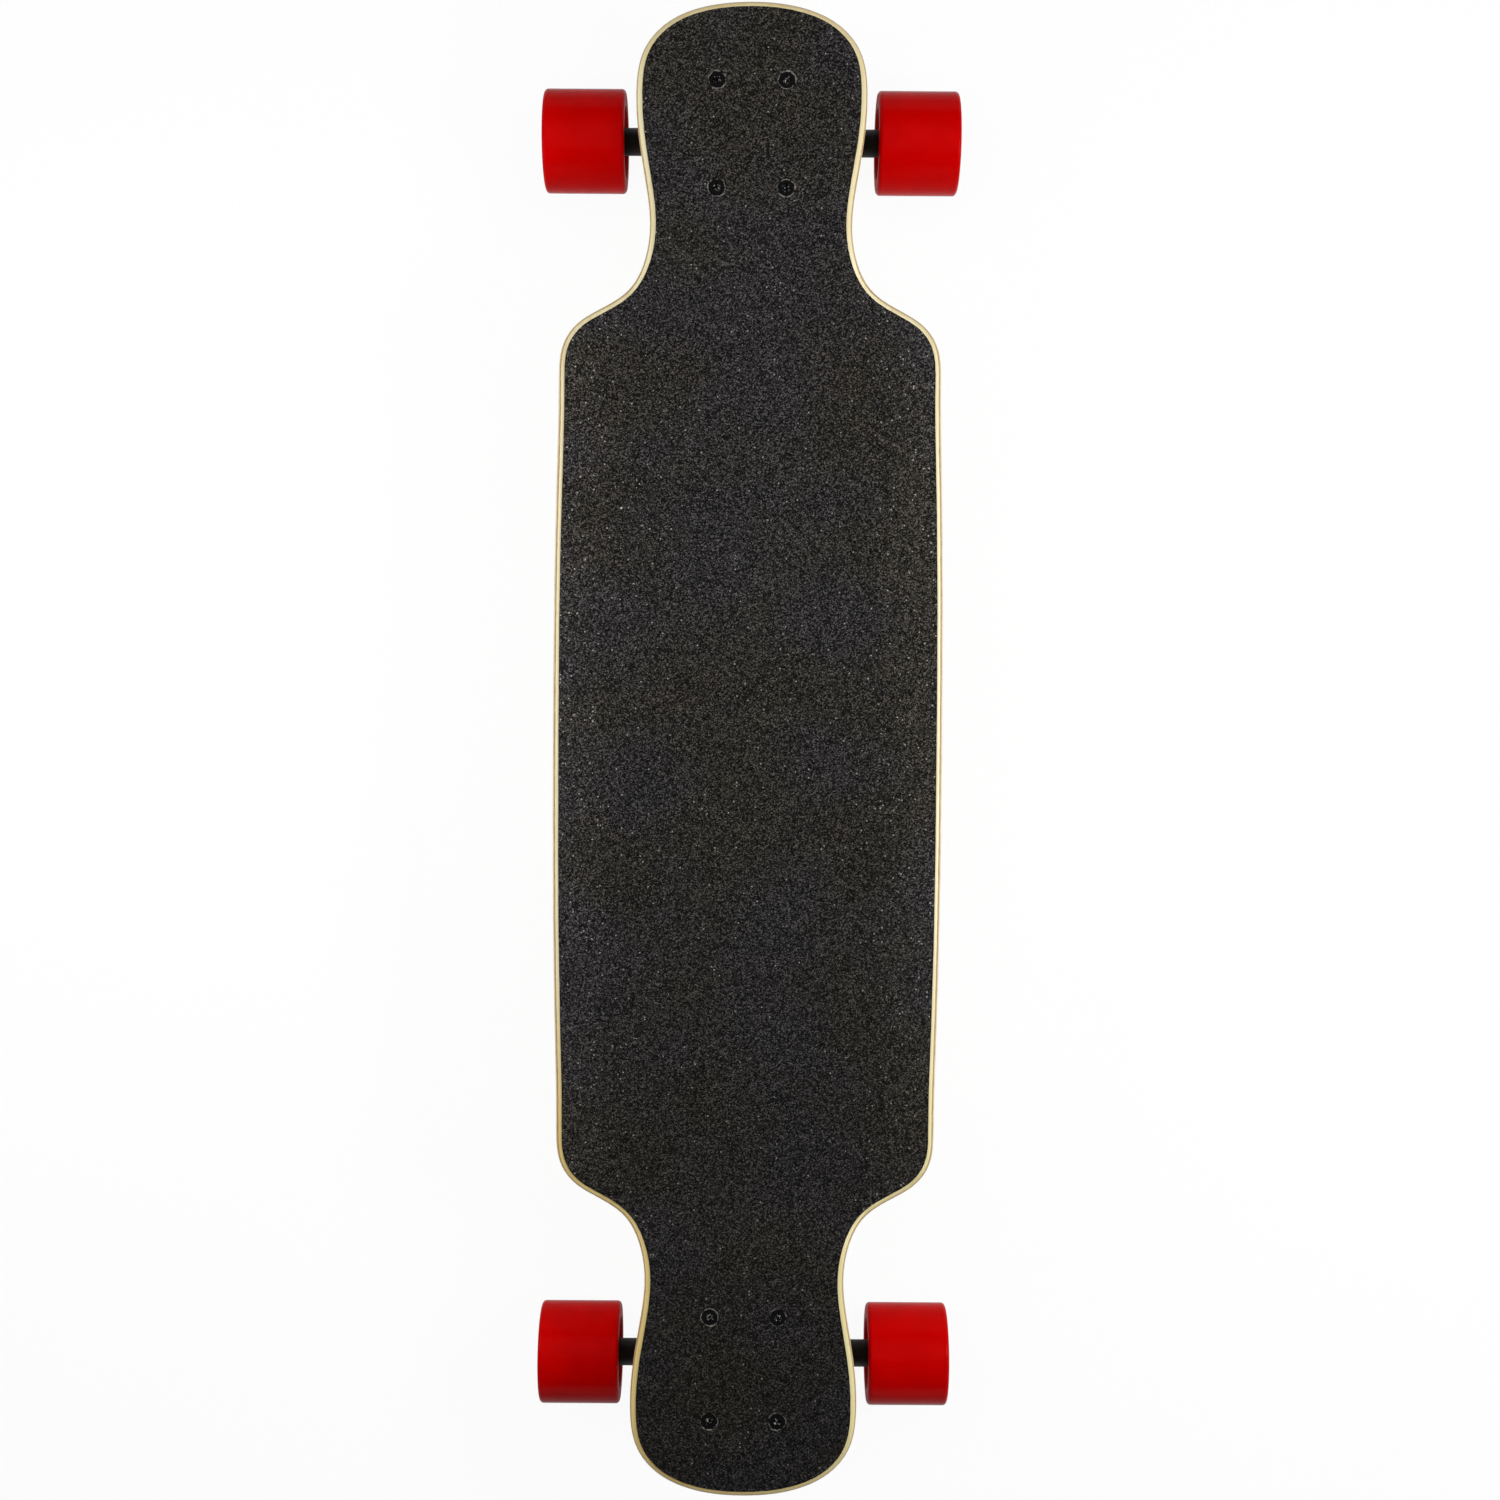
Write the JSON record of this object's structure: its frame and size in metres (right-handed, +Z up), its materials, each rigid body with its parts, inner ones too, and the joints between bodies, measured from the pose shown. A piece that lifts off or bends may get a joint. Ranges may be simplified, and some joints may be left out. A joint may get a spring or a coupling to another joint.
{
  "type": "longboard skateboard",
  "caption": "Drop-platform longboard skateboard with reverse-kingpin trucks that lean to steer, and wheels that spin on ball bearings.",
  "frame": {"origin": "on the ground under the middle of the deck", "axes": "+X to the rider's right when facing the nose, +Y towards the nose, +Z up"},
  "size_m": [0.258, 0.898, 0.1057],
  "materials": {
    "maple": "clear satin lacquer over maple plies",
    "grip": "black silicon carbide grit",
    "black_hardware": "black oxide",
    "zinc_hardware": "bright zinc plating",
    "black_casting": "satin black paint over cast aluminium",
    "cup_urethane": "black urethane",
    "bushing_urethane": "black urethane",
    "axle_steel": "bright drawn steel",
    "red_urethane": "glossy cast red urethane",
    "core_plastic": "moulded black plastic",
    "bearing_steel": "ground bearing steel",
    "shield_steel": "pressed steel",
    "spacer_aluminium": "turned"
  },
  "bodies": {
    "deck": {"deck": "maple", "grip_tape": "grip", "front_deck_bolts": "black_hardware", "front_lock_nuts": "zinc_hardware", "front_baseplate": "black_casting", "front_pivot_cup": "cup_urethane", "front_kingpin": "zinc_hardware", "front_kingpin_nut": "zinc_hardware", "front_boardside_bushing": "bushing_urethane", "front_roadside_bushing": "bushing_urethane", "front_boardside_washer": "zinc_hardware", "front_roadside_washer": "zinc_hardware", "rear_deck_bolts": "black_hardware", "rear_lock_nuts": "zinc_hardware", "rear_baseplate": "black_casting", "rear_pivot_cup": "cup_urethane", "rear_kingpin": "zinc_hardware", "rear_kingpin_nut": "zinc_hardware", "rear_boardside_bushing": "bushing_urethane", "rear_roadside_bushing": "bushing_urethane", "rear_boardside_washer": "zinc_hardware", "rear_roadside_washer": "zinc_hardware"},
    "front_hanger": {"front_hanger": "black_casting", "front_axle": "axle_steel", "front_axle_nuts": "zinc_hardware", "front_speed_washers": "zinc_hardware", "front_left_inner_races": "bearing_steel", "front_left_bearing_spacer": "spacer_aluminium", "front_right_inner_races": "bearing_steel", "front_right_bearing_spacer": "spacer_aluminium"},
    "rear_hanger": {"rear_hanger": "black_casting", "rear_axle": "axle_steel", "rear_axle_nuts": "zinc_hardware", "rear_speed_washers": "zinc_hardware", "rear_left_inner_races": "bearing_steel", "rear_left_bearing_spacer": "spacer_aluminium", "rear_right_inner_races": "bearing_steel", "rear_right_bearing_spacer": "spacer_aluminium"},
    "front_left_wheel": {"front_left_wheel_tyre": "red_urethane", "front_left_wheel_core": "core_plastic", "front_left_outer_races": "bearing_steel", "front_left_bearing_shields": "shield_steel"},
    "front_left_balls": {"front_left_bearing_balls": "bearing_steel"},
    "front_right_wheel": {"front_right_wheel_tyre": "red_urethane", "front_right_wheel_core": "core_plastic", "front_right_outer_races": "bearing_steel", "front_right_bearing_shields": "shield_steel"},
    "front_right_balls": {"front_right_bearing_balls": "bearing_steel"},
    "rear_left_wheel": {"rear_left_wheel_tyre": "red_urethane", "rear_left_wheel_core": "core_plastic", "rear_left_outer_races": "bearing_steel", "rear_left_bearing_shields": "shield_steel"},
    "rear_left_balls": {"rear_left_bearing_balls": "bearing_steel"},
    "rear_right_wheel": {"rear_right_wheel_tyre": "red_urethane", "rear_right_wheel_core": "core_plastic", "rear_right_outer_races": "bearing_steel", "rear_right_bearing_shields": "shield_steel"},
    "rear_right_balls": {"rear_right_bearing_balls": "bearing_steel"}
  },
  "joints": [
    {"name": "front_truck_steer", "type": "hinge", "parent": "deck", "child": "front_hanger", "pos_m": [0, 0.37815, 0.0377], "axis": [0, 0.7431, 0.6691], "range_deg": [-20, 20], "stiffness_Nm_per_rad": 60, "deforming": ["front_boardside_bushing", "front_roadside_bushing"]},
    {"name": "rear_truck_steer", "type": "hinge", "parent": "deck", "child": "rear_hanger", "pos_m": [0, -0.37815, 0.0377], "axis": [0, -0.7431, 0.6691], "range_deg": [-20, 20], "stiffness_Nm_per_rad": 60, "deforming": ["rear_boardside_bushing", "rear_roadside_bushing"]},
    {"name": "front_left_wheel_spin", "type": "hinge", "parent": "front_hanger", "child": "front_left_wheel", "pos_m": [-0.10375, 0.3835, 0.03175], "axis": [1, 0, 0], "continuous": true},
    {"name": "front_left_balls_roll", "type": "hinge", "parent": "front_hanger", "child": "front_left_balls", "pos_m": [-0.10375, 0.3835, 0.03175], "axis": [1, 0, 0], "continuous": true},
    {"name": "front_right_wheel_spin", "type": "hinge", "parent": "front_hanger", "child": "front_right_wheel", "pos_m": [0.10375, 0.3835, 0.03175], "axis": [1, 0, 0], "continuous": true},
    {"name": "front_right_balls_roll", "type": "hinge", "parent": "front_hanger", "child": "front_right_balls", "pos_m": [0.10375, 0.3835, 0.03175], "axis": [1, 0, 0], "continuous": true},
    {"name": "rear_left_wheel_spin", "type": "hinge", "parent": "rear_hanger", "child": "rear_left_wheel", "pos_m": [-0.10375, -0.3835, 0.03175], "axis": [1, 0, 0], "continuous": true},
    {"name": "rear_left_balls_roll", "type": "hinge", "parent": "rear_hanger", "child": "rear_left_balls", "pos_m": [-0.10375, -0.3835, 0.03175], "axis": [1, 0, 0], "continuous": true},
    {"name": "rear_right_wheel_spin", "type": "hinge", "parent": "rear_hanger", "child": "rear_right_wheel", "pos_m": [0.10375, -0.3835, 0.03175], "axis": [1, 0, 0], "continuous": true},
    {"name": "rear_right_balls_roll", "type": "hinge", "parent": "rear_hanger", "child": "rear_right_balls", "pos_m": [0.10375, -0.3835, 0.03175], "axis": [1, 0, 0], "continuous": true}
  ],
  "couplings": [
    {"joint": "front_left_balls_roll", "follows": "front_left_wheel_spin", "ratio": 0.6281},
    {"joint": "front_right_balls_roll", "follows": "front_right_wheel_spin", "ratio": 0.6281},
    {"joint": "rear_left_balls_roll", "follows": "rear_left_wheel_spin", "ratio": 0.6281},
    {"joint": "rear_right_balls_roll", "follows": "rear_right_wheel_spin", "ratio": 0.6281}
  ]
}
